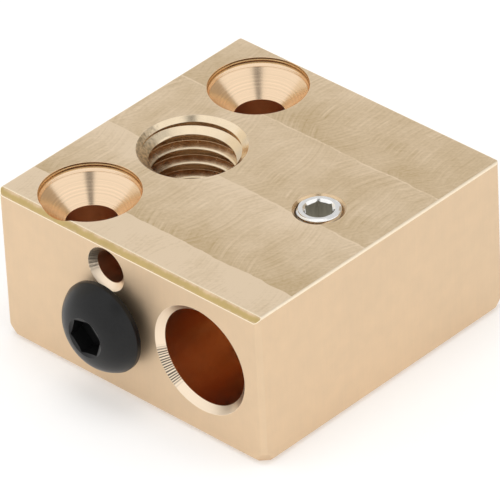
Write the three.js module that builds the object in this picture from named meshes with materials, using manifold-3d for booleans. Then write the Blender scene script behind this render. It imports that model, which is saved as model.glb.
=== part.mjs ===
// Heater block of a 3-D printer's hot end, with the two screws that clamp its heater and thermistor.
//
// Millimetres, +Z up. The origin is the centre of the block's base, the face that meets the heat break.
// +Z is the nozzle's face, and -Y is the face that the heater cartridge and the thermistor enter.
// Both screws can travel along their threads, so their shanks are plain, at the thread's pitch
// diameter, and turn in plain holes at its major diameter. The nozzle's thread is cut in full.

import * as THREE from "three";
import { mergeVertices } from "three/addons/utils/BufferGeometryUtils.js";
import Module from "manifold-3d";

const wasm = await Module();
wasm.setup();

// ---- Driving dimensions ----

const BLOCK = { width: 20, depth: 20, height: 10 };
const FRONT = -BLOCK.depth / 2;

// 45 degree chamfers on the block's edges. The front's top edge has been broken by hand, the others
// of the top only deburred.
const CHAMFER = { frontTop: 0.38, restOfTop: 0.1, base: 0.3, upright: 0.35 };

// A hole's mouth is the radius of its chamfer where it meets the face.
const HEATER_BORE = { x: 5.35, z: 5.2, radius: 3, mouth: 3.4 };
const THERMISTOR_HOLE = { x: -1.6, z: 8.2, radius: 1, mouth: 1.38, depth: 7 };
// The nozzle thread's start is the height of its groove on the side that faces +X.
const NOZZLE_THREAD = { x: -4.35, majorRadius: 3, pitch: 1, mouth: 3.2, start: 0.42 };
const FIXING_HOLES = { x: -5.7, spacing: 13.8, radius: 1.5, headRadius: 2.95, lip: 0.5 };

// The ISO coarse thread of both clamp screws.
const M3 = { majorRadius: 1.5, pitch: 0.5, mouth: 1.7 };
const SHANK_RADIUS = M3.majorRadius - 0.3248 * M3.pitch;

// The set screw stands a little proud of the top. Its cup point ends inside the heater bore while that
// is empty.
const SET_SCREW = {
  length: 3, topChamfer: 0.1, cupRadius: 0.7, cupDepth: 0.35, socketAcross: 1.5, socketDepth: 1.2,
  socketCorner: 17, holeMouth: 1.52, proud: 0.1,
};

// The button head stands off the front face by headGap, to leave room for the thermistor's leads.
const BUTTON_SCREW = {
  x: -1.3, z: 4.9, length: 6, headGap: 0.62, headRadius: 2.82, headHeight: 1.65, landHeight: 0.35,
  rimRadius: 1.25, domeShoulder: { radius: 2.365, height: 1.44 }, tipChamfer: 0.3,
  socketAcross: 2, socketDepth: 1.04, socketCorner: 12, holeDepth: 7,
};

const SIDES = { bore: 48, thread: 32, screw: 32 };
const DOME_STEPS = 6;
const OVERRUN = 1; // how far a cutter runs past the face it cuts

// ISO metric profile, in pitches: the thread's depth, and its groove's width at its mouth and root.
const ISO = { depth: 0.5413, grooveMouth: 0.75, grooveRoot: 0.125 };

const brass = new THREE.MeshStandardMaterial({ color: 0xd8b98c, roughness: 0.38, metalness: 1 });
const zincSteel = new THREE.MeshStandardMaterial({ color: 0xc9c9c7, roughness: 0.25, metalness: 1 });
const blackOxide = new THREE.MeshStandardMaterial({ color: 0x2c2d2f, roughness: 0.45, metalness: 0.6 });

// ---- Solids and geometries ----

// The closed solid of a geometry, for cutting.
function toSolid(geometry) {
  const bare = geometry.clone();
  bare.deleteAttribute("normal");
  bare.deleteAttribute("uv");
  const merged = mergeVertices(bare);
  const corners = merged.index.array;
  const triangles = [];
  for (let i = 0; i < corners.length; i += 3) {
    const [a, b, c] = corners.slice(i, i + 3);
    if (a !== b && b !== c && c !== a) triangles.push(a, b, c);
  }
  const mesh = new wasm.Mesh({
    numProp: 3,
    vertProperties: new Float32Array(merged.attributes.position.array),
    triVerts: new Uint32Array(triangles),
  });
  return new wasm.Manifold(mesh);
}

function toGeometry(solid) {
  const mesh = solid.getMesh();
  const geometry = new THREE.BufferGeometry();
  geometry.setAttribute("position", new THREE.BufferAttribute(mesh.vertProperties, 3));
  geometry.setIndex(new THREE.BufferAttribute(mesh.triVerts, 1));
  geometry.computeVertexNormals();
  return geometry;
}

// A geometry with each of the cutters taken out of it.
function cut(blank, cutters) {
  const solid = cutters.reduce((rest, cutter) => rest.subtract(toSolid(cutter)), toSolid(blank));
  return toGeometry(solid);
}

// ---- Shapes ----

// A shape turned about Z from [radius, height] pairs, which go up from the axis and back to it.
function turned(profile, sides) {
  const points = profile.map(([radius, height]) => new THREE.Vector2(radius, height));
  return new THREE.LatheGeometry(points, sides).rotateX(Math.PI / 2);
}

// Cutter for a hole from z = 0 up to z = length, with a 45 degree chamfer at both of its mouths.
function throughHole(radius, mouth, length, sides) {
  const chamfer = mouth - radius;
  const beyond = mouth + OVERRUN;
  return turned([
    [0, -OVERRUN], [beyond, -OVERRUN], [radius, chamfer],
    [radius, length - chamfer], [beyond, length + OVERRUN], [0, length + OVERRUN],
  ], sides);
}

// Cutter for a drilled hole whose mouth is at z = 0 and whose drill point is below `depth`.
function blindHole(radius, mouth, depth, sides) {
  const pointLength = radius / Math.tan(THREE.MathUtils.degToRad(59));
  return turned([
    [0, -depth - pointLength], [radius, -depth], [radius, radius - mouth],
    [mouth + OVERRUN, OVERRUN], [0, OVERRUN],
  ], sides);
}

// Cutter for a hexagon socket that opens at z = top, with a corner at `corner` degrees from +X.
function hexSocket(across, depth, top, corner) {
  const cornerRadius = across / 2 / Math.cos(Math.PI / 6);
  const length = depth + OVERRUN;
  return new THREE.CylinderGeometry(cornerRadius, cornerRadius, length, 6)
    .rotateX(Math.PI / 2)
    .rotateZ(THREE.MathUtils.degToRad(corner + 90))
    .translate(0, 0, top - depth + length / 2);
}

// A geometry lying along Z is wound right-handed round Z: x stays the radius, -y goes along the axis,
// and each pitch of z becomes one turn.
function windRoundZ(geometry, pitch) {
  const position = geometry.attributes.position;
  for (let i = 0; i < position.count; i++) {
    const radius = position.getX(i);
    const along = position.getZ(i);
    const angle = (2 * Math.PI * along) / pitch;
    position.setXYZ(i, radius * Math.cos(angle), radius * Math.sin(angle), along - position.getY(i));
  }
  return geometry;
}

// Cutter for the groove of an internal ISO thread that runs out of both ends of its hole.
function threadGroove(majorRadius, pitch, length, sides) {
  const innerRadius = majorRadius - ISO.depth * pitch;
  const sunk = innerRadius - 0.2 * pitch;
  const mouth = (ISO.grooveMouth * pitch) / 2;
  const root = (ISO.grooveRoot * pitch) / 2;
  const section = new THREE.Shape([
    new THREE.Vector2(sunk, -mouth), new THREE.Vector2(innerRadius, -mouth),
    new THREE.Vector2(majorRadius, -root), new THREE.Vector2(majorRadius, root),
    new THREE.Vector2(innerRadius, mouth), new THREE.Vector2(sunk, mouth),
  ]);
  const turns = Math.ceil(length / pitch) + 2;
  const ridge = new THREE.ExtrudeGeometry(section, {
    depth: turns * pitch, steps: turns * sides, bevelEnabled: false,
  });
  return windRoundZ(ridge.translate(0, 0, -pitch), pitch);
}

// ---- The block ----

function blockBlank() {
  const x = BLOCK.width / 2;
  const y = BLOCK.depth / 2;
  const c = CHAMFER.upright;
  const outline = new THREE.Shape([
    new THREE.Vector2(c - x, -y), new THREE.Vector2(x - c, -y),
    new THREE.Vector2(x, c - y), new THREE.Vector2(x, y - c),
    new THREE.Vector2(x - c, y), new THREE.Vector2(c - x, y),
    new THREE.Vector2(-x, y - c), new THREE.Vector2(-x, c - y),
  ]);
  return new THREE.ExtrudeGeometry(outline, { depth: BLOCK.height, bevelEnabled: false });
}

// Square bars stood on edge, a quarter turn apart, that chamfer the top's and the base's edges.
function edgeCutters() {
  const bar = (chamfer, z, quarter) => {
    const side = chamfer * Math.SQRT2;
    return new THREE.BoxGeometry(BLOCK.width + 2 * OVERRUN, side, side)
      .rotateX(Math.PI / 4)
      .translate(0, FRONT, z)
      .rotateZ((quarter * Math.PI) / 2);
  };
  return [0, 1, 2, 3].flatMap((quarter) => [
    bar(quarter === 0 ? CHAMFER.frontTop : CHAMFER.restOfTop, BLOCK.height, quarter),
    bar(CHAMFER.base, 0, quarter),
  ]);
}

function heaterBore() {
  const { x, z, radius, mouth } = HEATER_BORE;
  return throughHole(radius, mouth, BLOCK.depth, SIDES.bore)
    .rotateX(Math.PI / 2)
    .translate(x, -FRONT, z);
}

function thermistorHole() {
  const { x, z, radius, mouth, depth } = THERMISTOR_HOLE;
  return blindHole(radius, mouth, depth, SIDES.screw).rotateX(Math.PI / 2).translate(x, FRONT, z);
}

function buttonScrewHole() {
  const { x, z, holeDepth } = BUTTON_SCREW;
  return blindHole(M3.majorRadius, M3.mouth, holeDepth, SIDES.screw)
    .rotateX(Math.PI / 2)
    .translate(x, FRONT, z);
}

// The set screw's hole breaks into the heater bore and ends on the bore's axis.
function setScrewHole() {
  return blindHole(M3.majorRadius, SET_SCREW.holeMouth, BLOCK.height - HEATER_BORE.z, SIDES.screw)
    .translate(HEATER_BORE.x, 0, BLOCK.height);
}

function nozzleThread() {
  const { x, majorRadius, pitch, mouth, start } = NOZZLE_THREAD;
  const innerRadius = majorRadius - ISO.depth * pitch;
  return [
    throughHole(innerRadius, mouth, BLOCK.height, SIDES.thread),
    threadGroove(majorRadius, pitch, BLOCK.height, SIDES.thread).translate(0, 0, start),
  ].map((cutter) => cutter.translate(x, 0, 0));
}

// Countersunk holes for the two screws that hold the block up to the heatsink.
function fixingHoles() {
  const { x, spacing, radius, headRadius, lip } = FIXING_HOLES;
  const coneTop = BLOCK.height - lip;
  const coneFoot = coneTop - (headRadius - radius);
  return [-1, 1].map((side) =>
    turned([
      [0, -OVERRUN], [radius, -OVERRUN], [radius, coneFoot],
      [headRadius, coneTop], [headRadius, BLOCK.height + OVERRUN], [0, BLOCK.height + OVERRUN],
    ], SIDES.bore).translate(x, (side * spacing) / 2, 0));
}

function heaterBlock() {
  const geometry = cut(blockBlank(), [
    ...edgeCutters(), heaterBore(), thermistorHole(), buttonScrewHole(), setScrewHole(),
    ...nozzleThread(), ...fixingHoles(),
  ]);
  const mesh = new THREE.Mesh(geometry, brass);
  mesh.name = "heater_block";
  return mesh;
}

// ---- The screws, each made pointing down from z = 0 ----

// M3 socket set screw with a cup point.
function heaterClampScrew() {
  const { length, topChamfer, cupRadius, cupDepth, socketAcross, socketDepth, socketCorner } = SET_SCREW;
  const blank = turned([
    [0, cupDepth - length], [cupRadius, -length], [SHANK_RADIUS, SHANK_RADIUS - cupRadius - length],
    [SHANK_RADIUS, -topChamfer], [SHANK_RADIUS - topChamfer, 0], [0, 0],
  ], SIDES.screw);
  const mesh = new THREE.Mesh(cut(blank, [hexSocket(socketAcross, socketDepth, 0, socketCorner)]), zincSteel);
  mesh.name = "heater_clamp_screw";
  mesh.position.set(HEATER_BORE.x, 0, BLOCK.height + SET_SCREW.proud);
  return mesh;
}

// M3 button head socket screw. Its head sits above z = 0 and its shank below.
function thermistorClampScrew() {
  const {
    x, z, length, headGap, headRadius, headHeight, landHeight, rimRadius, domeShoulder, tipChamfer,
    socketAcross, socketDepth, socketCorner,
  } = BUTTON_SCREW;
  const dome = new THREE.QuadraticBezierCurve(
    new THREE.Vector2(headRadius, landHeight),
    new THREE.Vector2(domeShoulder.radius, domeShoulder.height),
    new THREE.Vector2(rimRadius, headHeight),
  );
  const blank = turned([
    [0, -length], [SHANK_RADIUS - tipChamfer, -length], [SHANK_RADIUS, tipChamfer - length],
    [SHANK_RADIUS, 0], [headRadius, 0],
    ...dome.getPoints(DOME_STEPS).map((point) => [point.x, point.y]),
    [0, headHeight],
  ], SIDES.screw);
  const socket = hexSocket(socketAcross, socketDepth, headHeight, socketCorner);
  const mesh = new THREE.Mesh(cut(blank, [socket]), blackOxide);
  mesh.name = "thermistor_clamp_screw";
  mesh.rotation.x = Math.PI / 2;
  mesh.position.set(x, FRONT - headGap, z);
  return mesh;
}

const assembly = new THREE.Group();
assembly.add(heaterBlock(), heaterClampScrew(), thermistorClampScrew());

export default assembly;
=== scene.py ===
"""The looks of a brass heater block and its two clamp screws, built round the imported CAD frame.

Shapes are worked out in millimetres in the frame's own axes and turned into metres as each piece is
finished. The block's faces are milled, its holes are cut with real threads, and both screws carry
threads that mesh with theirs.
"""
import math

import bmesh
import bpy
from mathutils import Matrix, Vector


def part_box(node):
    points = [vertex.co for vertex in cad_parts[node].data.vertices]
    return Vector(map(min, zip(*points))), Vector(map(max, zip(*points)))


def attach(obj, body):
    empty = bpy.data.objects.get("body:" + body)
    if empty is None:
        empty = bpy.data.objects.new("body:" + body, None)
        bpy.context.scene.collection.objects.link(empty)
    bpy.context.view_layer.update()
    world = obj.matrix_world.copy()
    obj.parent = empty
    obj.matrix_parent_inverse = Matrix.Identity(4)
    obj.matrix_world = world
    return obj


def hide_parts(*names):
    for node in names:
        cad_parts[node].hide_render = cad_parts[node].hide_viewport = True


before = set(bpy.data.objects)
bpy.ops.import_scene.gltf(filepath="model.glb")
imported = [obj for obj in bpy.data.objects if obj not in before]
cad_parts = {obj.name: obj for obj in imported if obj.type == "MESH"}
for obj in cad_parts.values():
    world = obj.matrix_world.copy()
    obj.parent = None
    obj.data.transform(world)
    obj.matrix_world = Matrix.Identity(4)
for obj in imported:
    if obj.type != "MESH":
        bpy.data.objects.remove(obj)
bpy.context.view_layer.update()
MM = 0.001

# ---- Sizes from the frame, in millimetres ----


def node_box(node):
    low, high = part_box(node)
    return low / MM, high / MM


BLOCK_LOW, BLOCK_HIGH = node_box("heater_block")
SET_LOW, SET_HIGH = node_box("heater_clamp_screw")
BUTTON_LOW, BUTTON_HIGH = node_box("thermistor_clamp_screw")

WIDTH, DEPTH, TOP = BLOCK_HIGH.x - BLOCK_LOW.x, BLOCK_HIGH.y - BLOCK_LOW.y, BLOCK_HIGH.z
FRONT = BLOCK_LOW.y
SET_X, SET_TOP = (SET_LOW.x + SET_HIGH.x) / 2, SET_HIGH.z
BUTTON_X, BUTTON_Z = (BUTTON_LOW.x + BUTTON_HIGH.x) / 2, (BUTTON_LOW.z + BUTTON_HIGH.z) / 2
HEAD_RADIUS = (BUTTON_HIGH.z - BUTTON_LOW.z) / 2
HEAD_TOP = FRONT - BUTTON_LOW.y  # how far the button head stands out of the front face

# ---- Sizes of features that the frame's boxes don't give, in millimetres ----

CHAMFER = {"front_top": 0.38, "rest_of_top": 0.1, "base": 0.3, "upright": 0.35, "base_corner": 0.6}
EDGE_ROUND = 0.04
RIM_ROUND = 0.05
OVERRUN = 1.0  # how far a cutter runs past the face it cuts
DRILL_POINT = 118  # degrees across the cone that a drill leaves

HEATER_BORE = {"x": SET_X, "z": 5.2, "radius": 3.0, "mouth": 3.4}
THERMISTOR_HOLE = {"x": -1.6, "z": 8.2, "radius": 1.0, "mouth": 1.38, "depth": 7.0}
NOZZLE_HOLE = {"x": -4.35, "y": 0.0, "crest": 2.459, "root": 2.93, "pitch": 1.0, "mouth": 3.2,
               "start": -0.214, "burnish": 0.10}
# The nozzle thread's groove, in pitches from the middle of one crest to the middle of the next
NOZZLE_GROOVE = {"crest_end": 0.03, "root_start": 0.31, "root_end": 0.585, "crest_start": 0.97}
FIXING_HOLE = {"x": -5.7, "spacing": 13.8, "radius": 1.5, "head": 2.95, "lip": 0.5}
# The lip over each countersink's cone: insets from the head's radius, and depths under the top
LIP = {"step_inset": 0.02, "step": (0.20, 0.28), "band_inset": 0.11, "band": (0.38, 0.56),
       "cone_inset": 0.09, "rim_round": 0.02}
M3 = {"major": 1.5, "pitch": 0.5, "mouth": 1.7, "clearance": 0.03}
SCREW_HOLE_DEPTH = 7.0
SET_HOLE_MOUTH = 1.52
SET_SCREW = {"length": 3.0, "crown": 1.27, "entry": 0.93, "dish": 0.79, "cup": 0.7, "cup_depth": 0.35,
             "point": 0.6, "socket": 1.5, "socket_depth": 1.2, "corner": 17}
# The dome's shoulder is a share of the head's radius, and a height.
BUTTON_SCREW = {"length": 6.0, "head": 1.65, "land": 0.35, "rim": 1.25, "shoulder": (0.84, 1.44),
                "tip_inset": 0.35, "tip": 0.3, "socket": 2.06, "socket_depth": 1.04, "corner": 12}
DOME_STEPS = 24

# ISO thread profile, in pitches: depths, how far the pitch radius is inside the major one, and the width
# of each crest and root
INNER_DEPTH = 0.5413
OUTER_DEPTH = 0.6134
PITCH_RADIUS_INSET = 0.3248
INNER_CREST, INNER_ROOT = 0.25, 0.125
OUTER_CREST, OUTER_ROOT = 0.125, 0.2

LATHE_SIDES = 192
THREAD_SIDES = 96

# ---- Profiles ----


def round_corners(corners, steps=4):
    """Points of a polyline of (x, y) or (x, y, corner radius), with an arc at each corner that has one."""
    points = []
    for i, corner in enumerate(corners):
        here = Vector(corner[:2])
        if len(corner) == 2 or i in (0, len(corners) - 1):
            points.append(here)
            continue
        back = (Vector(corners[i - 1][:2]) - here).normalized()
        on = (Vector(corners[i + 1][:2]) - here).normalized()
        half = back.angle(on) / 2
        reach = corner[2] / math.tan(half)
        centre = here + (back + on).normalized() * (corner[2] / math.sin(half))
        start, end = here + back * reach - centre, here + on * reach - centre
        sweep = start.angle_signed(end)
        for k in range(steps + 1):
            turn = Matrix.Rotation(-sweep * k / steps, 2)
            points.append(centre + turn @ start)
    return [(p.x, p.y) for p in points]


def hole_mouth(mouth, face, rounding=RIM_ROUND):
    """Profile corners that flare a cutter just over the face it enters, so that the rim comes out rounded."""
    flare, rise = mouth + OVERRUN, 0.1
    return [(mouth, face, rounding), (flare, face + rise), (flare, face + OVERRUN), (0, face + OVERRUN)]


def flipped(corners, length):
    """The same corners for the hole's far mouth, lowest first."""
    return [(c[0], length - c[1], *c[2:]) for c in reversed(corners)]


# ---- Meshes ----


def mesh_object(name, verts, faces):
    mesh = bpy.data.meshes.new(name)
    mesh.from_pydata(verts, [], faces)
    obj = bpy.data.objects.new(name, mesh)
    bpy.context.scene.collection.objects.link(obj)
    return obj


def turned(name, profile, sides=LATHE_SIDES):
    """A closed solid turned about Z from (radius, height) points that go up from the axis and back to it."""
    inner = profile[1:-1]
    verts = [(0, 0, profile[0][1])]
    for radius, height in inner:
        for i in range(sides):
            angle = 2 * math.pi * i / sides
            verts.append((radius * math.cos(angle), radius * math.sin(angle), height))
    verts.append((0, 0, profile[-1][1]))
    last = len(verts) - 1
    faces = []
    for i in range(sides):
        j = (i + 1) % sides
        faces.append((0, 1 + j, 1 + i))
        for k in range(len(inner) - 1):
            low, high = 1 + k * sides, 1 + (k + 1) * sides
            faces.append((low + i, low + j, high + j, high + i))
        faces.append((last, last - sides + i, last - sides + j))
    return mesh_object(name, verts, faces)


def threaded(name, shape, pitch, low, turns, sides=THREAD_SIDES):
    """A closed right-handed screw about Z. shape gives (height, radius) points, from 0 to under one pitch."""
    per_turn = len(shape)
    rows = per_turn * turns + 1
    column = []
    for row in range(rows):
        height, radius = shape[row % per_turn]
        column.append((low + height + pitch * (row // per_turn), radius))
    verts = []
    for i in range(sides):
        angle = 2 * math.pi * i / sides
        for height, radius in column:
            verts.append((radius * math.cos(angle), radius * math.sin(angle), height + pitch * i / sides))

    def at(i, row):
        return (i * rows + row) if i < sides else (row + per_turn)

    faces = []
    for i in range(sides):
        top = rows - 1 if i < sides - 1 else rows - 1 - per_turn
        for row in range(top):
            faces.append((at(i, row), at(i + 1, row), at(i + 1, row + 1), at(i, row + 1)))
    bottom_loop = [at(i, 0) for i in range(sides)] + [at(0, row) for row in range(per_turn, 0, -1)]
    top_loop = [at(i, rows - 1) for i in range(sides)]
    top_loop = [at(sides - 1, row) for row in range(rows - 1 - per_turn, rows - 1)] + top_loop[::-1]
    for loop, height in ((bottom_loop, low + pitch / 2), (top_loop, low + pitch * (turns + 0.5))):
        verts.append((0, 0, height))
        centre = len(verts) - 1
        for a, b in zip(loop, loop[1:] + loop[:1]):
            faces.append((centre, b, a))
    return mesh_object(name, verts, faces)


def prism(name, across, low, high, corner):
    """A hexagonal prism with a corner at `corner` degrees from +X."""
    radius = across / 2 / math.cos(math.pi / 6)
    angles = [math.radians(corner + 60 * k) for k in range(6)]
    verts = [(radius * math.cos(a), radius * math.sin(a), z) for z in (low, high) for a in angles]
    faces = [(5, 4, 3, 2, 1, 0), (6, 7, 8, 9, 10, 11)]
    faces += [(k, (k + 1) % 6, (k + 1) % 6 + 6, k + 6) for k in range(6)]
    return mesh_object(name, verts, faces)


def combine(target, operation, tools):
    """Joins or cuts the target with each tool in turn, and deletes the tools."""
    for tool in tools:
        modifier = target.modifiers.new(tool.name, "BOOLEAN")
        modifier.solver = "MANIFOLD"
        modifier.operation = operation
        modifier.object = tool
    bake_modifiers(target)
    for tool in tools:
        bpy.data.objects.remove(tool)
    return target


def bake_modifiers(obj):
    made = obj.evaluated_get(bpy.context.evaluated_depsgraph_get())
    mesh = bpy.data.meshes.new_from_object(made)
    obj.modifiers.clear()
    obj.data = mesh


def placed(obj, matrix):
    obj.data.transform(matrix)
    return obj


def into_front(x, z):
    """From a hole's own frame, with +Z coming out of its mouth, to a hole in the front face."""
    return Matrix.Translation((x, FRONT, z)) @ Matrix.Rotation(math.pi / 2, 4, "X")


def into_top(x, y):
    return Matrix.Translation((x, y, TOP))


# ---- Threads ----


def inner_thread(name, crest, root, pitch, low, turns):
    """Cutter for an ISO internal thread, given the radii of its crest and root."""
    crest_half, root_half = INNER_CREST / 2 * pitch, INNER_ROOT / 2 * pitch
    root_round = 0.6 * root_half
    shape = round_corners([
        (0, crest), (crest_half, crest, 0.02 * pitch), (pitch / 2 - root_half, root, root_round),
        (pitch / 2 + root_half, root, root_round), (pitch - crest_half, crest, 0.02 * pitch), (pitch, crest),
    ], 3)[:-1]
    return threaded(name, shape, pitch, low, turns)


def nozzle_thread(low, turns):
    """Cutter for the nozzle's thread. A point on the upper flank marks where the burnished crest ends."""
    pitch, crest, root = NOZZLE_HOLE["pitch"], NOZZLE_HOLE["crest"], NOZZLE_HOLE["root"]
    crest_end, root_start, root_end, crest_start = [pitch * share for share in NOZZLE_GROOVE.values()]
    burnish = NOZZLE_HOLE["burnish"]
    burnish_end = crest_end + (root_start - crest_end) * burnish / (root - crest)
    shape = round_corners([
        (0, crest), (crest_end, crest, 0.02 * pitch), (burnish_end, crest + burnish),
        (root_start, root, 0.03 * pitch), (root_end, root, 0.05 * pitch),
        (crest_start, crest, 0.02 * pitch), (pitch, crest),
    ], 4)[:-1]
    return threaded("nozzle_thread", shape, pitch, low, turns)


def outer_thread(name, major, pitch, low, turns, clearance=0.0):
    """An ISO external thread."""
    root, crest = major - OUTER_DEPTH * pitch - clearance, major - clearance
    root_half, crest_half = OUTER_ROOT / 2 * pitch, OUTER_CREST / 2 * pitch
    shape = round_corners([
        (0, root), (root_half, root, 0.1 * pitch), (pitch / 2 - crest_half, crest, 0.04 * pitch),
        (pitch / 2 + crest_half, crest, 0.04 * pitch), (pitch - root_half, root, 0.1 * pitch), (pitch, root),
    ], 3)[:-1]
    return threaded(name, shape, pitch, low, turns)


# ---- The block ----


def block_blank():
    """The block before its holes: soft uprights, chamfered top and base, and every edge slightly broken."""
    box = bmesh.new()
    bmesh.ops.create_cube(box, size=1)
    middle = (BLOCK_LOW + BLOCK_HIGH) / 2
    bmesh.ops.transform(box, verts=box.verts, matrix=Matrix.Translation(middle) @ Matrix.Diagonal(
        (WIDTH, DEPTH, TOP, 1)))
    half = Vector((WIDTH / 2, DEPTH / 2, TOP / 2))
    uprights = [e for e in box.edges if abs(e.verts[0].co.z - e.verts[1].co.z) > TOP / 2]
    bmesh.ops.bevel(box, geom=uprights, offset=CHAMFER["upright"], segments=4, profile=0.4, affect="EDGES")
    cuts = []
    for sx, sy in ((1, 0), (-1, 0), (0, 1), (0, -1)):
        top = CHAMFER["front_top"] if sy < 0 else CHAMFER["rest_of_top"]
        cuts += [(Vector((sx, sy, 1)), top), (Vector((sx, sy, -1)), CHAMFER["base"])]
    cuts = [(normal, size / math.sqrt(2)) for normal, size in cuts]
    cuts += [(Vector((sx, sy, -1)), CHAMFER["base_corner"]) for sx in (-1, 1) for sy in (-1, 1)]
    for normal, depth in cuts:
        corner = middle + Vector(n * h for n, h in zip(normal, half))
        inside = corner - normal.normalized() * depth
        geometry = box.verts[:] + box.edges[:] + box.faces[:]
        cut = bmesh.ops.bisect_plane(box, geom=geometry, plane_co=inside, plane_no=normal,
                                     clear_outer=True)
        edges = [e for e in cut["geom_cut"] if isinstance(e, bmesh.types.BMEdge)]
        bmesh.ops.edgeloop_fill(box, edges=edges)
    creases = [e for e in box.edges if e.calc_face_angle() > math.radians(30)]
    bmesh.ops.bevel(box, geom=creases, offset=EDGE_ROUND, segments=3, profile=0.5, affect="EDGES",
                    clamp_overlap=True)
    bmesh.ops.recalc_face_normals(box, faces=box.faces[:])
    mesh = bpy.data.meshes.new("block")
    box.to_mesh(mesh)
    box.free()
    obj = bpy.data.objects.new("block", mesh)
    bpy.context.scene.collection.objects.link(obj)
    return obj


def through_hole(name, radius, mouth, length):
    """Cutter along Z from -length to 0 with a 45 degree chamfer at both mouths."""
    chamfer = mouth - radius
    near = [(radius, -chamfer, RIM_ROUND)] + hole_mouth(mouth, 0)
    far = flipped(near, -length)
    return turned(name, round_corners(far + near))


def blind_hole(name, radius, mouth, depth):
    """Cutter for a drilled hole with its mouth at z = 0."""
    point = radius / math.tan(math.radians(DRILL_POINT / 2))
    return turned(name, round_corners([
        (0, -depth - point), (radius, -depth), (radius, radius - mouth, RIM_ROUND), *hole_mouth(mouth, 0)]))


def nozzle_hole():
    """Hole tapped right through, with two spare turns of the cutter past each face."""
    pitch, spare = NOZZLE_HOLE["pitch"], 2
    place = into_top(NOZZLE_HOLE["x"], NOZZLE_HOLE["y"])
    thread = nozzle_thread(NOZZLE_HOLE["start"] - TOP - spare * pitch, round(TOP / pitch) + 2 * spare)
    inside_crest = NOZZLE_HOLE["crest"] - 0.01
    drilled = through_hole("nozzle_hole", inside_crest, NOZZLE_HOLE["mouth"], TOP)
    return [placed(drilled, place), placed(thread, place)]


def screw_hole(name, mouth, depth, place):
    """Tapped M3 hole with a chamfered mouth."""
    major, pitch, clearance = M3["major"], M3["pitch"], M3["clearance"]
    turns = round(depth / pitch) + 1
    minor = major - INNER_DEPTH * pitch
    drilled = blind_hole(name, minor, mouth, depth)
    crest, root = minor + clearance / 2, major + clearance
    thread = inner_thread(name + "_thread", crest, root, pitch, -depth, turns)
    return [placed(drilled, place), placed(thread, place)]


def fixing_hole(side):
    """Countersunk hole: a wall with a line turned round it, then a steep band over a 90 degree cone."""
    radius, head, lip = FIXING_HOLE["radius"], FIXING_HOLE["head"], FIXING_HOLE["lip"]
    wall, band, cone_top = head - LIP["step_inset"], head - LIP["band_inset"], head - LIP["cone_inset"]
    (step_top, step_low), (band_top, band_low) = LIP["step"], LIP["band"]
    profile = round_corners([
        (0, -TOP - OVERRUN), (radius, -TOP - OVERRUN), (radius, radius - head - lip, RIM_ROUND),
        (cone_top, cone_top - head - lip), (band, -band_low, 0.01), (wall, -band_top, 0.04),
        (wall, -step_low), (head, -step_top), *hole_mouth(head, 0, LIP["rim_round"])])
    y = side * FIXING_HOLE["spacing"] / 2
    return placed(turned("fixing_hole", profile), into_top(FIXING_HOLE["x"], y))


def block():
    """The finished block, with every hole cut."""
    heater, thermistor = HEATER_BORE, THERMISTOR_HOLE
    cutters = [
        placed(through_hole("heater_bore", heater["radius"], heater["mouth"], DEPTH),
               into_front(heater["x"], heater["z"])),
        placed(blind_hole("thermistor_hole", thermistor["radius"], thermistor["mouth"], thermistor["depth"]),
               into_front(thermistor["x"], thermistor["z"])),
        *nozzle_hole(),
        *screw_hole("set_hole", SET_HOLE_MOUTH, TOP - heater["z"], into_top(SET_X, 0)),
        *screw_hole("button_hole", M3["mouth"], SCREW_HOLE_DEPTH, into_front(BUTTON_X, BUTTON_Z)),
        fixing_hole(-1),
        fixing_hole(1),
    ]
    return combine(block_blank(), "DIFFERENCE", cutters)


# ---- The screws ----


def set_screw():
    """M3 socket set screw with a cup point, a rounded crown on a short collar and a chamfered socket."""
    low, outer, cup = -SET_SCREW["length"], M3["major"], SET_SCREW["cup"]
    crown, entry, dish = SET_SCREW["crown"], SET_SCREW["entry"], SET_SCREW["dish"]
    middle, collar = (crown + entry) / 2, crown + 0.02
    thread_top, collar_low, crown_low, entry_top, floor_height = -0.5, -0.27, -0.08, -0.03, -0.17
    blank = turned("set_screw", round_corners([
        (0, low + SET_SCREW["cup_depth"]), (cup, low, 0.03), (outer, low + SET_SCREW["point"]),
        (outer, thread_top), (collar, collar_low, 0.04), (crown, crown_low, 0.07), (middle, 0, 0.12),
        (entry, entry_top, 0.05), (dish, floor_height), (0, floor_height)]))
    start = HEATER_BORE["z"] - SET_TOP
    turns = round(-start / M3["pitch"]) + 2
    thread = outer_thread("set_thread", outer, M3["pitch"], start, turns, M3["clearance"])
    combine(blank, "INTERSECT", [thread])
    bottom = -SET_SCREW["socket_depth"]
    socket = prism("set_socket", SET_SCREW["socket"], bottom, OVERRUN, SET_SCREW["corner"])
    combine(blank, "DIFFERENCE", [socket])
    return placed(blank, Matrix.Translation((SET_X, 0, SET_TOP)))


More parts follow.
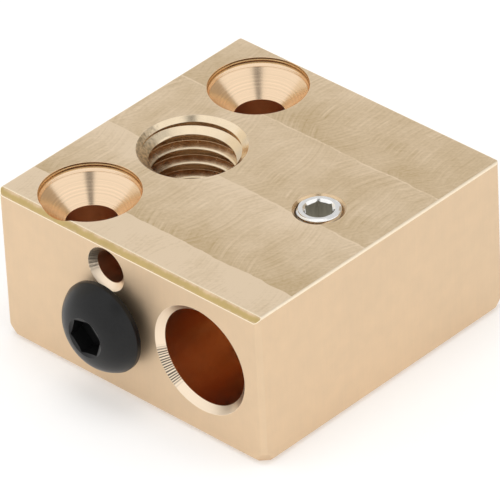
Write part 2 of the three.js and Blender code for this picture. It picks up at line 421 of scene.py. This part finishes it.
def button_screw():
    """M3 button head socket screw, black, standing off the front face."""
    head, land, rim = BUTTON_SCREW["head"], BUTTON_SCREW["land"], BUTTON_SCREW["rim"]
    gap = HEAD_TOP - head
    tip = gap - BUTTON_SCREW["length"]
    outer, neck = M3["major"], M3["major"] - PITCH_RADIUS_INSET * M3["pitch"]
    thread_end, neck_start, inside_head = gap - 0.7, gap - 0.45, gap + 0.1
    shank = turned("button_shank", round_corners([
        (0, tip), (outer - BUTTON_SCREW["tip_inset"], tip, 0.05), (outer, tip + BUTTON_SCREW["tip"]),
        (outer, thread_end), (neck, neck_start), (neck, inside_head), (0, inside_head)]))
    turns = round((SCREW_HOLE_DEPTH + 1) / M3["pitch"]) + 1
    thread = outer_thread("button_thread", outer, M3["pitch"], -SCREW_HOLE_DEPTH, turns, M3["clearance"])
    combine(shank, "INTERSECT", [thread])
    edge = Vector((HEAD_RADIUS, gap + land))
    shoulder_share, shoulder_height = BUTTON_SCREW["shoulder"]
    shoulder = Vector((HEAD_RADIUS * shoulder_share, gap + shoulder_height))
    crown = Vector((rim, gap + head))
    dome = []
    for k in range(DOME_STEPS + 1):
        t = k / DOME_STEPS
        dome.append(tuple(edge * (1 - t) ** 2 + shoulder * (2 * t * (1 - t)) + crown * t * t))
    under, dip = 0.08, 0.08  # the chamfer under the head, and how deep the socket's countersink is
    profile = round_corners([
        (0, gap), (HEAD_RADIUS - under, gap, 0.03), (HEAD_RADIUS, gap + under, 0.03),
        (HEAD_RADIUS, gap + land, 0.08), *dome[1:-1], (rim, gap + head, 0.05),
        (rim - 2 * dip, gap + head - dip), (0, gap + head - dip)])
    body = turned("button_screw", profile)
    combine(body, "UNION", [shank])
    bottom = gap + head - BUTTON_SCREW["socket_depth"]
    top = gap + head + OVERRUN
    socket = prism("button_socket", BUTTON_SCREW["socket"], bottom, top, BUTTON_SCREW["corner"])
    combine(body, "DIFFERENCE", [socket])
    return placed(body, into_front(BUTTON_X, BUTTON_Z))


# ---- Materials ----

BRASS = (0.84, 0.63, 0.43)
# Partly painted highlight: filed edges painted paler than the faces, as a bright line along them.
EDGE_HIGHLIGHT_BRASS = (0.98, 0.84, 0.64)
GROUND_BRASS = (0.76, 0.585, 0.40)
# Painted shade: a darker copy of the brass for the lip walls of the countersinks.
PAINTED_SHADE_LIP_BRASS = (0.66, 0.53, 0.34)
THREAD_BRASS = (0.70, 0.52, 0.33)
# Partly painted highlight: rubbed brass painted paler, for the nozzle hole's mouth, its crests and the upward
# faces of its first turn.
BURNISHED_AND_HIGHLIGHT_BRASS = (0.84, 0.69, 0.49)
# Partly painted highlight: fresh-cut brass painted paler, for the bright mouths of the front holes.
FRESH_AND_HIGHLIGHT_BRASS = (0.92, 0.76, 0.58)
DRILLED_BRASS = (0.80, 0.56, 0.38)
BORED_BRASS = (0.74, 0.49, 0.30)
OLIVE_BRASS = (0.54, 0.40, 0.172)
SCRAPED_BRASS = tuple(0.86 * c for c in BRASS)
DEEP_MILLED, PALE_MILLED = (0.66, 0.48, 0.26), (1.0, 0.80, 0.57)
STEEL = (0.93, 0.92, 0.90)
DULL_STEEL = (0.62, 0.60, 0.54)
BLACK_OXIDE = (0.006, 0.006, 0.006)


class Graph:
    """A node tree, with each node fed by values or by other nodes' outputs."""

    def __init__(self, tree):
        self.tree = tree

    def feed(self, socket, value):
        if isinstance(value, bpy.types.NodeSocket):
            self.tree.links.new(value, socket)
        else:
            socket.default_value = value

    def node(self, kind, inputs, **settings):
        made = self.tree.nodes.new(kind)
        for setting, value in settings.items():
            setattr(made, setting, value)
        for socket, value in inputs.items():
            self.feed(made.inputs[socket], value)
        return made

    def math(self, operation, *values):
        return self.node("ShaderNodeMath", dict(enumerate(values)), operation=operation).outputs[0]

    def vector(self, x, y, z):
        return self.node("ShaderNodeCombineXYZ", {0: x, 1: y, 2: z}).outputs[0]

    def step(self, value, low, high):
        """0 below low, 1 above high."""
        inputs = {"Value": value, "From Min": low, "From Max": high}
        return self.node("ShaderNodeMapRange", inputs, interpolation_type="SMOOTHSTEP").outputs[0]

    def window(self, value, low, high, soft):
        """1 between low and high, fading to 0 over soft on either side of each."""
        rise = self.step(value, low - soft, low + soft)
        fall = self.step(value, high - soft, high + soft)
        return self.math("SUBTRACT", rise, fall)

    def total(self, *terms):
        """Sum of weight times value for each (weight, value)."""
        result = 0.0
        for weight, value in terms:
            result = self.math("MULTIPLY_ADD", value, weight, result)
        return result

    def blend(self, first, second, factor):
        """From the first colour to the second as factor goes from 0 to 1."""
        first = (*first, 1) if isinstance(first, tuple) else first
        inputs = {"Factor": factor, "A": first, "B": (*second, 1)}
        made = self.tree.nodes.new("ShaderNodeMix")
        made.data_type = "RGBA"
        for socket in made.inputs:
            if socket.enabled and socket.name in inputs:
                self.feed(socket, inputs[socket.name])
        return next(output for output in made.outputs if output.enabled)


class Surface(Graph):
    """A material's node tree round its Principled shader."""

    def __init__(self, name, colour, roughness, metallic=1.0):
        self.material = bpy.data.materials.new(name)
        self.material.use_nodes = True
        super().__init__(self.material.node_tree)
        self.shader = self.tree.nodes["Principled BSDF"]
        self.shader.inputs["Base Color"].default_value = (*colour, 1)
        self.shader.inputs["Metallic"].default_value = metallic
        self.shader.inputs["Roughness"].default_value = roughness
        self.colour, self.roughness = colour, roughness

    def place(self):
        """X, Y and Z in the frame, in millimetres."""
        where = self.node("ShaderNodeTexCoord", {}).outputs["Object"]
        scaled = self.node("ShaderNodeVectorMath", {0: where, 1: (1 / MM,) * 3}, operation="MULTIPLY")
        return self.node("ShaderNodeSeparateXYZ", {0: scaled.outputs[0]}).outputs

    def noise(self, vector, scale, detail=2.0):
        """Smooth noise about 0, between -0.5 and 0.5, with `scale` waves to each unit of the vector."""
        made = self.node("ShaderNodeTexNoise", {"Vector": vector, "Scale": scale, "Detail": detail})
        return self.math("SUBTRACT", made.outputs["Fac"], 0.5)

    def stretched(self, place, across, along, axis, detail=2.0):
        """Noise drawn out along one axis, in waves per millimetre."""
        scales = [along if k == axis else across for k in range(3)]
        parts = [self.math("MULTIPLY", place[k], scales[k]) for k in range(3)]
        return self.noise(self.vector(*parts), 1.0, detail)

    def tint(self, amount):
        """Lightens the colour by a share of itself, or darkens it where the amount is negative."""
        factor = self.math("ADD", amount, 1.0)
        scaled = self.node("ShaderNodeVectorMath", {0: self.colour, "Scale": factor}, operation="SCALE")
        self.feed(self.shader.inputs["Base Color"], scaled.outputs[0])

    def roughen(self, amount):
        self.feed(self.shader.inputs["Roughness"], self.math("ADD", amount, self.roughness))

    def bump(self, height, depth):
        """Relief of the given height map, depth in millimetres."""
        inputs = {"Height": height, "Distance": depth * MM, "Strength": 1.0}
        made = self.node("ShaderNodeBump", inputs)
        self.feed(self.shader.inputs["Normal"], made.outputs[0])

    def brush_round(self, first, second, plane):
        """Anisotropic gloss of marks turned about an axis, given the two offsets from that axis."""
        back = self.math("MULTIPLY", second, -1.0)
        parts = {plane[0]: back, plane[1]: first}
        tangent = self.vector(*[parts.get(axis, 0.0) for axis in "XYZ"])
        self.feed(self.shader.inputs["Tangent"], tangent)
        self.shader.inputs["Anisotropic"].default_value = 0.7


def ground_brass():
    """Drawn bar faces with a faint upright grain and slight smudges."""
    surface = Surface("ground_brass", GROUND_BRASS, 0.55)
    place = surface.place()
    grain = surface.stretched(place, 7.0, 0.3, 2, 3.0)
    smudge = surface.noise(surface.vector(*place), 0.16)
    mottle = surface.noise(surface.vector(*place), 0.9, 3.0)
    surface.tint(surface.total((0.06, grain), (0.12, smudge), (0.12, mottle)))
    surface.roughen(surface.total((0.06, grain), (0.10, smudge), (0.06, mottle)))
    surface.bump(surface.total((0.4, grain), (0.6, mottle)), 0.0015)
    return surface.material


MILL_RADIUS = 6.0
PASS_BORDER = 0.03  # how soft the line between two passes is
PAINTED_GLINT = {"width": 0.10, "soft": 0.04}  # the painted highlight, a bright line along a pass's rear edge
MILL_PASSES = [  # lowest and highest Y, painted shade at the front edge, and how much lighter the rear edge is painted
    (-12.0, -7.1, 0.24, 0.12),
    (-7.1, -1.15, -0.13, 0.42),
    (-1.15, 4.95, 0.03, 0.04),
    (4.95, 12.0, -0.08, 0.20),
]


def mill_pass(surface, place, low, high, base, rise):
    """Marks, painted shade and the painted highlight along the rear edge of one pass of the face mill along
    X.
    """
    x, y = place
    inside = surface.window(y, low, high, PASS_BORDER)
    offset = surface.math("SUBTRACT", y, (low + high) / 2)
    square = surface.math("SUBTRACT", MILL_RADIUS ** 2, surface.math("MULTIPLY", offset, offset))
    reach = surface.math("SQRT", square)
    leading = surface.math("ADD", x, reach)
    trailing = surface.math("SUBTRACT", x, reach)
    patch = surface.noise(surface.vector(surface.math("MULTIPLY", x, 0.45), y, low), 0.6, 2.0)
    cut = surface.noise(surface.vector(surface.math("MULTIPLY", leading, 5.0), low, 0.0), 1.0, 4.0)
    back_cut = surface.noise(surface.vector(surface.math("MULTIPLY", trailing, 6.0), high, 0.0), 1.0, 4.0)
    strength = surface.step(patch, -0.12, 0.16)
    fainter = surface.math("MULTIPLY_ADD", strength, -0.5, 0.6)
    both = surface.math("MULTIPLY_ADD", back_cut, fainter, surface.math("MULTIPLY", cut, strength))
    marks = surface.math("MULTIPLY", inside, both)
    share = surface.math("DIVIDE", surface.math("SUBTRACT", y, low), high - low)
    # Painted shade: each pass is painted darker at its front edge and lighter towards its rear.
    shade = surface.math("MULTIPLY", inside, surface.math("MULTIPLY_ADD", share, rise, base))
    # Painted highlight along the pass's rear edge, broken up along X by noise.
    highlight_breakup = surface.noise(surface.vector(surface.math("MULTIPLY", x, 0.5), high, 0.0), 1.0, 2.0)
    painted_glint = surface.window(y, high - PAINTED_GLINT["width"], high, PAINTED_GLINT["soft"])
    return marks, shade, surface.math("MULTIPLY", painted_glint, surface.step(highlight_breakup, -0.2, 0.1))


def milled_brass():
    """The milled top and base: patchy arcs of the cutter in passes along X, crossed by fine scratches, with
    painted shade and painted highlights.
    """
    surface = Surface("milled_brass", BRASS, 0.3)
    x, y, z = surface.place()
    drift = surface.noise(surface.vector(surface.math("MULTIPLY", x, 0.35), 0.0, 0.0), 1.0, 2.0)
    waver = surface.noise(surface.vector(x, 0.0, 4.0), 1.0, 2.0)
    wavy = surface.total((1.0, y), (0.5, drift), (0.16, waver))
    marks, painted_shades, painted_glints = [], [], []
    for low, high, base, rise in MILL_PASSES:
        mark, shade, painted_glint = mill_pass(surface, (x, wavy), low, high, base, rise)
        marks.append((1.0, mark))
        painted_shades.append((1.0, shade))
        painted_glints.append((1.0, painted_glint))
    marks, shade, painted_glints = surface.total(*marks), surface.total(*painted_shades), surface.total(*painted_glints)
    turned_place = [surface.total((1.0, x), (0.8, y)), surface.total((1.0, y), (-0.8, x)), z]
    scratches = surface.stretched(turned_place, 9.0, 0.5, 0, 2.0)
    cloud = surface.noise(surface.vector(x, y, z), 0.45, 4.0)
    grain = surface.noise(surface.vector(x, y, z), 5.0, 3.0)
    # The x term paints a slight gradient, lighter towards -X, as a painted highlight.
    lightness = surface.total((0.95, marks), (1.0, shade), (0.26, painted_glints), (0.55, cloud), (0.30, grain),
                              (0.26, scratches), (-0.004, x))
    colour = surface.blend(DEEP_MILLED, PALE_MILLED, surface.math("MULTIPLY_ADD", lightness, 1.6, 0.5))
    surface.feed(surface.shader.inputs["Base Color"], colour)
    surface.roughen(surface.total((0.08, marks), (0.08, cloud)))
    surface.bump(surface.total((1.6, marks), (0.8, painted_glints), (0.8, scratches), (0.8, grain)), 0.005)
    return surface.material


def filed_edge_highlight_brass():
    """Edges broken with a file, with short nicks, painted paler as a highlight along them."""
    surface = Surface("filed_edge_highlight_brass", EDGE_HIGHLIGHT_BRASS, 0.3)
    place = surface.place()
    nicks = surface.noise(surface.vector(*place), 2.2, 3.0)
    surface.tint(surface.total((0.12, nicks)))
    surface.roughen(surface.total((0.10, nicks)))
    surface.bump(nicks, 0.004)
    return surface.material


def raw_chamfer_brass():
    """The front chamfer, left with the bar's olive skin, scraped bright unevenly along both its edges."""
    surface = Surface("raw_chamfer_brass", OLIVE_BRASS, 0.36)
    place = surface.place()
    patch = surface.noise(surface.vector(*place), 1.1, 3.0)
    size = CHAMFER["front_top"]
    fray = surface.noise(surface.vector(*place), 4.0, 3.0)
    ragged = surface.total((1.0, place[2]), (0.20, patch), (0.16, fray))
    skin_low, skin_high, soft = TOP - size + 0.02, TOP - 0.08, 0.10
    skin = surface.window(ragged, skin_low, skin_high, soft)
    shade = surface.math("ADD", surface.total((0.30, patch)), 1.0)
    colour = surface.blend(SCRAPED_BRASS, OLIVE_BRASS, skin)
    scaled = surface.node("ShaderNodeVectorMath", {0: colour, "Scale": shade}, operation="SCALE")
    surface.feed(surface.shader.inputs["Base Color"], scaled.outputs[0])
    surface.roughen(surface.total((0.14, patch)))
    surface.bump(patch, 0.006)
    return surface.material


def countersink_brass():
    """The fixing holes' cones, with fine turned rings."""
    surface = Surface("countersink_brass", BRASS, 0.15)
    place = surface.place()
    fine = surface.noise(surface.vector(0.0, 0.0, surface.math("MULTIPLY", place[2], 14.0)), 1.0, 3.0)
    side = surface.math("SUBTRACT", surface.math("ABSOLUTE", place[1]), FIXING_HOLE["spacing"] / 2)
    surface.brush_round(surface.math("SUBTRACT", place[0], FIXING_HOLE["x"]), side, "XY")
    surface.tint(surface.total((0.5, fine)))
    surface.roughen(surface.total((0.16, fine)))
    surface.bump(fine, 0.012)
    return surface.material


def painted_shade_lip_brass():
    """The wall over each countersink's cone, duller than the cone and turned in two bands, painted darker as
    shade, with painted light and dark bands.
    """
    surface = Surface("painted_shade_lip_brass", PAINTED_SHADE_LIP_BRASS, 0.24)
    place = surface.place()
    per_mm = 33.0  # radians of the bands' wave, in relief and as painted light and dark, in each millimetre of depth
    # Relief bands, also painted into the colour as light and dark bands.
    bands = surface.math("COSINE", surface.math("MULTIPLY_ADD", place[2], per_mm, -TOP * per_mm))
    patch = surface.noise(surface.vector(*place), 1.2)
    surface.tint(surface.total((0.45, bands), (0.3, patch)))
    surface.roughen(surface.total((0.1, patch)))
    surface.bump(bands, 0.006)
    return surface.material


def mouth_brass(name, hole, chatter):
    """The chamfered mouth of a hole in the front face, painted paler as a highlight, with chatter marks over
    part of it.
    """
    surface = Surface(name, FRESH_AND_HIGHLIGHT_BRASS, 0.3)
    place = surface.place()
    x = surface.math("SUBTRACT", place[0], hole["x"])
    z = surface.math("SUBTRACT", place[2], hole["z"])
    rings = surface.noise(surface.vector(0.0, surface.math("MULTIPLY", place[1], 9.0), 0.0), 1.0, 3.0)
    surface.brush_round(x, z, "XZ")
    angle = surface.math("ARCTAN2", z, x)
    turn = surface.math("MULTIPLY_ADD", angle, 180 / math.pi, 360.0)
    turn = surface.math("MODULO", turn, 360.0)
    reach = surface.window(turn, chatter["from"], chatter["to"], 5.0)
    uneven = surface.noise(surface.vector(surface.math("MULTIPLY", angle, 9.0), 0.0, 0.0), 1.0, 2.0)
    phase = surface.math("MULTIPLY_ADD", angle, float(chatter["per_turn"]), surface.total((8.0, uneven)))
    waves = surface.math("MULTIPLY", surface.math("SINE", phase), reach)
    surface.tint(surface.total((0.12, rings), (chatter["contrast"], waves), (-chatter["contrast"], reach)))
    surface.bump(surface.total((0.5, rings), (4 * chatter["contrast"], waves)), 0.006)
    return surface.material


def bored_brass(name, colour, roughness):
    """Inside drilled and bored holes: duller, with faint rings left by the drill."""
    surface = Surface(name, colour, roughness)
    place = surface.place()
    rings_y = surface.noise(surface.vector(0.0, surface.math("MULTIPLY", place[1], 2.2), 0.0), 1.0, 4.0)
    rings_z = surface.noise(surface.vector(0.0, 0.0, surface.math("MULTIPLY", place[2], 5.0)), 1.0, 4.0)
    patch = surface.noise(surface.vector(*place), 0.5)
    surface.tint(surface.total((0.12, rings_y), (0.12, rings_z), (0.2, patch)))
    surface.roughen(surface.total((0.12, patch)))
    surface.bump(surface.total((0.5, rings_y), (1.0, rings_z)), 0.004)
    return surface.material


def thread_brass():
    """Tapped threads, torn a little along their flanks."""
    surface = Surface("thread_brass", THREAD_BRASS, 0.24)
    place = surface.place()
    torn = surface.noise(surface.vector(*place), 2.6, 4.0)
    surface.tint(surface.total((0.5, torn)))
    surface.roughen(surface.total((0.2, torn)))
    surface.bump(torn, 0.006)
    return surface.material


def burnished_and_highlight_brass():
    """The nozzle hole's mouth and the crests of its thread, rubbed bright and painted paler as a highlight,
    but torn on one side.
    """
    surface = Surface("burnished_and_highlight_brass", BURNISHED_AND_HIGHLIGHT_BRASS, 0.2)
    place = surface.place()
    rub = surface.noise(surface.vector(*place), 1.6, 3.0)
    aside = surface.total((-0.7, surface.math("SUBTRACT", place[0], NOZZLE_HOLE["x"])), (-0.7, place[1]))
    torn = surface.step(surface.total((1.0, aside), (1.2, rub)), 1.7, 2.5)
    pits = surface.math("MULTIPLY", surface.noise(surface.vector(*place), 5.0, 4.0), torn)
    surface.tint(surface.total((0.16, rub), (-0.30, torn), (1.4, pits)))
    surface.roughen(surface.total((0.10, rub), (0.15, torn)))
    surface.bump(surface.total((0.4, rub), (3.0, pits)), 0.008)
    return surface.material


def bright_steel():
    """Plated steel with light scuffs."""
    surface = Surface("bright_steel", STEEL, 0.13)
    place = surface.place()
    scuff = surface.noise(surface.vector(*place), 3.0, 3.0)
    surface.tint(surface.total((0.20, scuff)))
    surface.roughen(surface.total((0.14, scuff)))
    surface.bump(scuff, 0.012)
    return surface.material


def dull_steel():
    """The socket's walls and the thread, duller than the crown."""
    surface = Surface("dull_steel", DULL_STEEL, 0.42)
    place = surface.place()
    streak = surface.stretched(place, 6.0, 1.5, 2, 3.0)
    surface.tint(surface.total((0.5, streak)))
    surface.roughen(surface.total((0.2, streak)))
    surface.bump(streak, 0.004)
    return surface.material


def black_oxide():
    """Satin black oxide with a slight grain from the forging."""
    surface = Surface("black_oxide", BLACK_OXIDE, 0.33, 0.0)
    surface.shader.inputs["Specular IOR Level"].default_value = 0.3
    place = surface.place()
    grain = surface.noise(surface.vector(*place), 5.0, 3.0)
    patch = surface.noise(surface.vector(*place), 0.7)
    surface.tint(surface.total((0.8, grain), (0.8, patch)))
    surface.roughen(surface.total((0.12, grain), (0.10, patch)))
    surface.bump(grain, 0.002)
    return surface.material


# ---- Which finish each face of the block has ----

BLOCK_FINISHES = ["ground", "milled", "edge", "raw_chamfer", "countersink", "lip", "heater_mouth",
                  "thermistor_mouth", "bored", "drilled", "thread", "burnished"]
REACH = 0.12  # how far past its own radius a hole's finish is looked for
ON_WALL = 0.01  # how far off a hole's wall the centre of one of its faces can be
ON_FACE = 0.02  # the same for the block's outside


def hole_finish(centre, normal):
    """The finish of a face inside one of the holes, or None."""
    from_nozzle = math.hypot(centre.x - NOZZLE_HOLE["x"], centre.y - NOZZLE_HOLE["y"])
    from_fixing = math.hypot(centre.x - FIXING_HOLE["x"], abs(centre.y) - FIXING_HOLE["spacing"] / 2)
    from_heater = math.hypot(centre.x - HEATER_BORE["x"], centre.z - HEATER_BORE["z"])
    from_thermistor = math.hypot(centre.x - THERMISTOR_HOLE["x"], centre.z - THERMISTOR_HOLE["z"])
    from_button = math.hypot(centre.x - BUTTON_X, centre.z - BUTTON_Z)
    from_set = math.hypot(centre.x - SET_X, centre.y)
    if from_fixing < FIXING_HOLE["head"] + REACH:
        if from_fixing < FIXING_HOLE["radius"] + ON_WALL:
            return "drilled"
        on_lip = from_fixing > FIXING_HOLE["head"] - LIP["step_inset"] - ON_WALL and normal.z < 0.6
        return "lip" if on_lip else "countersink"
    if from_nozzle < NOZZLE_HOLE["mouth"] + REACH:
        at_45_degrees = abs(abs(normal.z) - math.sqrt(0.5)) < 0.03
        on_mouth = at_45_degrees and abs(centre.z - TOP / 2) > TOP / 2 - NOZZLE_HOLE["pitch"]
        on_crest = from_nozzle < NOZZLE_HOLE["crest"] + NOZZLE_HOLE["burnish"]
        # The upward faces of the first turn take the painted highlight.
        on_first_turn = centre.z > TOP - 1.1 * NOZZLE_HOLE["pitch"] and normal.z > 0.5
        return "burnished" if on_mouth or on_crest or on_first_turn else "thread"
    if from_set < SET_HOLE_MOUTH + REACH and from_heater > HEATER_BORE["radius"] + 0.05:
        return "thread"
    if from_heater < HEATER_BORE["mouth"] + REACH:
        return "bored" if from_heater < HEATER_BORE["radius"] + ON_WALL else "heater_mouth"
    if from_thermistor < THERMISTOR_HOLE["mouth"] + REACH:
        return "drilled" if from_thermistor < THERMISTOR_HOLE["radius"] + ON_WALL else "thermistor_mouth"
    if from_button < M3["mouth"] + REACH:
        return "thread"
    return None


def block_finish(centre, normal):
    """Index in BLOCK_FINISHES of the face with this centre and normal: outside faces first, then holes."""
    flat = max(abs(normal.x), abs(normal.y), abs(normal.z)) > 0.999
    outside = max(abs(centre.x) - WIDTH / 2, abs(centre.y) - DEPTH / 2) > -ON_FACE
    diagonal = (normal.z - normal.y) / math.sqrt(2) > 0.995
    if flat and (normal.z > 0 and centre.z > TOP - ON_FACE or normal.z < 0 and centre.z < ON_FACE):
        return BLOCK_FINISHES.index("milled")
    if flat and outside:
        return BLOCK_FINISHES.index("ground")
    if diagonal and centre.z - centre.y > TOP - FRONT - CHAMFER["front_top"] - 0.05:
        return BLOCK_FINISHES.index("raw_chamfer")
    inside = hole_finish(centre, normal)
    if inside:
        return BLOCK_FINISHES.index(inside)
    # Upward-facing edges near the top take the painted edge highlight.
    return BLOCK_FINISHES.index("edge" if centre.z > TOP - 1 and normal.z > 0.2 else "ground")


# ---- Finishing a piece ----


def only_finish(centre, normal):
    return 0


def set_screw_finish(centre, normal):
    """1 inside the set screw's socket and on its thread, 0 on its crown."""
    depth = SET_TOP - centre.z
    radius = math.hypot(centre.x - SET_X, centre.y)
    in_socket = radius < SET_SCREW["socket"] / math.sqrt(3) and (abs(normal.z) < 0.1 or depth > 1)
    return 1 if in_socket or radius > SET_SCREW["crown"] + 0.02 else 0


def finish_piece(obj, node, body, materials, finish_of=only_finish):
    """Gives the faces their materials and smooth shading, and hangs the piece, in metres, on its body."""
    obj.data.materials.clear()
    for made in materials:
        obj.data.materials.append(made)
    for face in obj.data.polygons:
        face.material_index = finish_of(face.center, face.normal)
        face.use_smooth = True
    obj.data.set_sharp_from_angle(angle=math.radians(30))
    weighted = obj.modifiers.new("weighted", "WEIGHTED_NORMAL")
    weighted.keep_sharp = True
    weighted.weight = 100
    bake_modifiers(obj)
    placed(obj, Matrix.Scale(MM, 4))
    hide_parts(node)
    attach(obj, body)


BLOCK_MATERIALS = [
    ground_brass(), milled_brass(), filed_edge_highlight_brass(), raw_chamfer_brass(), countersink_brass(), painted_shade_lip_brass(),
    mouth_brass("heater_mouth_brass", HEATER_BORE,
                {"per_turn": 135, "from": 192, "to": 232, "contrast": 0.46}),
    mouth_brass("thermistor_mouth_brass", THERMISTOR_HOLE,
                {"per_turn": 34, "from": 130, "to": 205, "contrast": 0.12}),
    bored_brass("bored_brass", BORED_BRASS, 0.24), bored_brass("drilled_brass", DRILLED_BRASS, 0.3),
    thread_brass(), burnished_and_highlight_brass(),
]
finish_piece(block(), "heater_block", "block", BLOCK_MATERIALS, block_finish)
finish_piece(set_screw(), "heater_clamp_screw", "heater_screw",
             [bright_steel(), dull_steel()], set_screw_finish)
finish_piece(button_screw(), "thermistor_clamp_screw", "thermistor_screw", [black_oxide()])

# ---- Camera ----

# Degrees and millimetres. The camera looks along a line beside the block's middle: aside is how far the
# line is to the right of it and how far above.
CAMERA = {"azimuth": 44.78, "elevation": 34.98, "roll": -3.02, "distance": 378.4, "lens": 482.8,
          "aside": (-0.144, -0.148)}


def camera():
    """A long lens far off, so that the block's sides stay nearly parallel."""
    azimuth, elevation = math.radians(CAMERA["azimuth"]), math.radians(CAMERA["elevation"])
    back = Vector((math.sin(azimuth) * math.cos(elevation), -math.cos(azimuth) * math.cos(elevation),
                   math.sin(elevation)))
    right = Vector((math.cos(azimuth), math.sin(azimuth), 0))
    up = back.cross(right)
    turn = Matrix.Rotation(math.radians(CAMERA["roll"]), 3, back)
    right, up = turn @ right, turn @ up
    data = bpy.data.cameras.new("camera")
    data.lens = CAMERA["lens"]
    data.sensor_width = 36
    data.clip_start, data.clip_end = 0.01, 20
    obj = bpy.data.objects.new("camera", data)
    bpy.context.scene.collection.objects.link(obj)
    middle = Vector((0, 0, TOP / 2))
    spot = middle + right * CAMERA["aside"][0] + up * CAMERA["aside"][1] + back * CAMERA["distance"]
    axes = Matrix((right, up, back)).transposed()
    obj.matrix_world = Matrix.Translation(spot * MM) @ axes.to_4x4()
    bpy.context.scene.camera = obj


camera()

# ---- Floor and light ----

# Azimuths here are in degrees from the camera's, towards its right. Each card of the studio has its
# lowest and highest azimuth and elevation, how soft its edges are, and its radiance.
ROOM = 0.72
HORIZON = 0.97
HORIZON_FADE = (1.0, 8.0)  # elevations over which the horizon turns into the room
CARDS = [
    ((-136, -100), (6, 60), 8, (0.92, 0.86, 0.76)),  # left
    ((-112, 101), (5, 84), 3, (1.07, 1.07, 1.07)),  # front
    ((-180, 180), (76, 100), 6, (1.12, 1.12, 1.12)),  # ceiling
    ((-13, 13), (45, 70), 8, (0.30, 0.30, 0.30)),  # gap over the camera
    ((102, 152), (4, 34), 2, (0.50, 0.42, 0.32)),  # right
]
OVERHEAD = {"height": 0.9, "size": 0.5, "radiance": 2.0}  # metres
FLOOR = {"half": 3.0, "albedo": 0.78, "glow": 0.25}  # metres


def floor():
    """A white matt floor that glows faintly, so that it stays near white outside the shadow."""
    surface = Surface("floor", (FLOOR["albedo"],) * 3, 0.9, 0.0)
    surface.shader.inputs["Specular IOR Level"].default_value = 0.0
    surface.shader.inputs["Emission Color"].default_value = (1, 1, 1, 1)
    surface.shader.inputs["Emission Strength"].default_value = FLOOR["glow"]
    half = FLOOR["half"]
    obj = mesh_object("floor", [(-half, -half, 0), (half, -half, 0), (half, half, 0), (-half, half, 0)],
                      [(0, 1, 2, 3)])
    obj.data.materials.append(surface.material)


def studio():
    """A pale room: bright ceiling, wide bright card in front with a dark gap in it, dimmer side cards."""
    made = bpy.data.worlds.new("studio")
    made.use_nodes = True
    graph = Graph(made.node_tree)
    where = graph.node("ShaderNodeTexCoord", {}).outputs["Generated"]
    x, y, z = graph.node("ShaderNodeSeparateXYZ", {0: where}).outputs
    turn = math.radians(CAMERA["azimuth"])
    aside = graph.total((math.cos(turn), x), (math.sin(turn), y))
    ahead = graph.total((math.sin(turn), x), (-math.cos(turn), y))
    azimuth = graph.math("MULTIPLY", graph.math("ARCTAN2", aside, ahead), 180 / math.pi)
    elevation = graph.math("MULTIPLY", graph.math("ARCSINE", z), 180 / math.pi)
    colour = graph.blend((HORIZON,) * 3, (ROOM,) * 3, graph.step(elevation, *HORIZON_FADE))
    for (left, right), (low, high), soft, radiance in CARDS:
        across = graph.window(azimuth, left, right, soft)
        upward = graph.window(elevation, low, high, soft)
        colour = graph.blend(colour, radiance, graph.math("MULTIPLY", across, upward))
    graph.feed(graph.tree.nodes["Background"].inputs["Color"], colour)
    bpy.context.scene.world = made


def overhead():
    """A square soft light over the block that its glossy surfaces don't mirror."""
    data = bpy.data.lights.new("overhead", "AREA")
    data.size = OVERHEAD["size"]
    data.energy = OVERHEAD["radiance"] * math.pi * OVERHEAD["size"] ** 2
    obj = bpy.data.objects.new("overhead", data)
    bpy.context.scene.collection.objects.link(obj)
    obj.location = (0, 0, OVERHEAD["height"])
    obj.visible_glossy = False


floor()
studio()
overhead()

scene = bpy.context.scene
scene.view_settings.view_transform = "Standard"
scene.cycles.max_bounces = 20
scene.cycles.glossy_bounces = 20
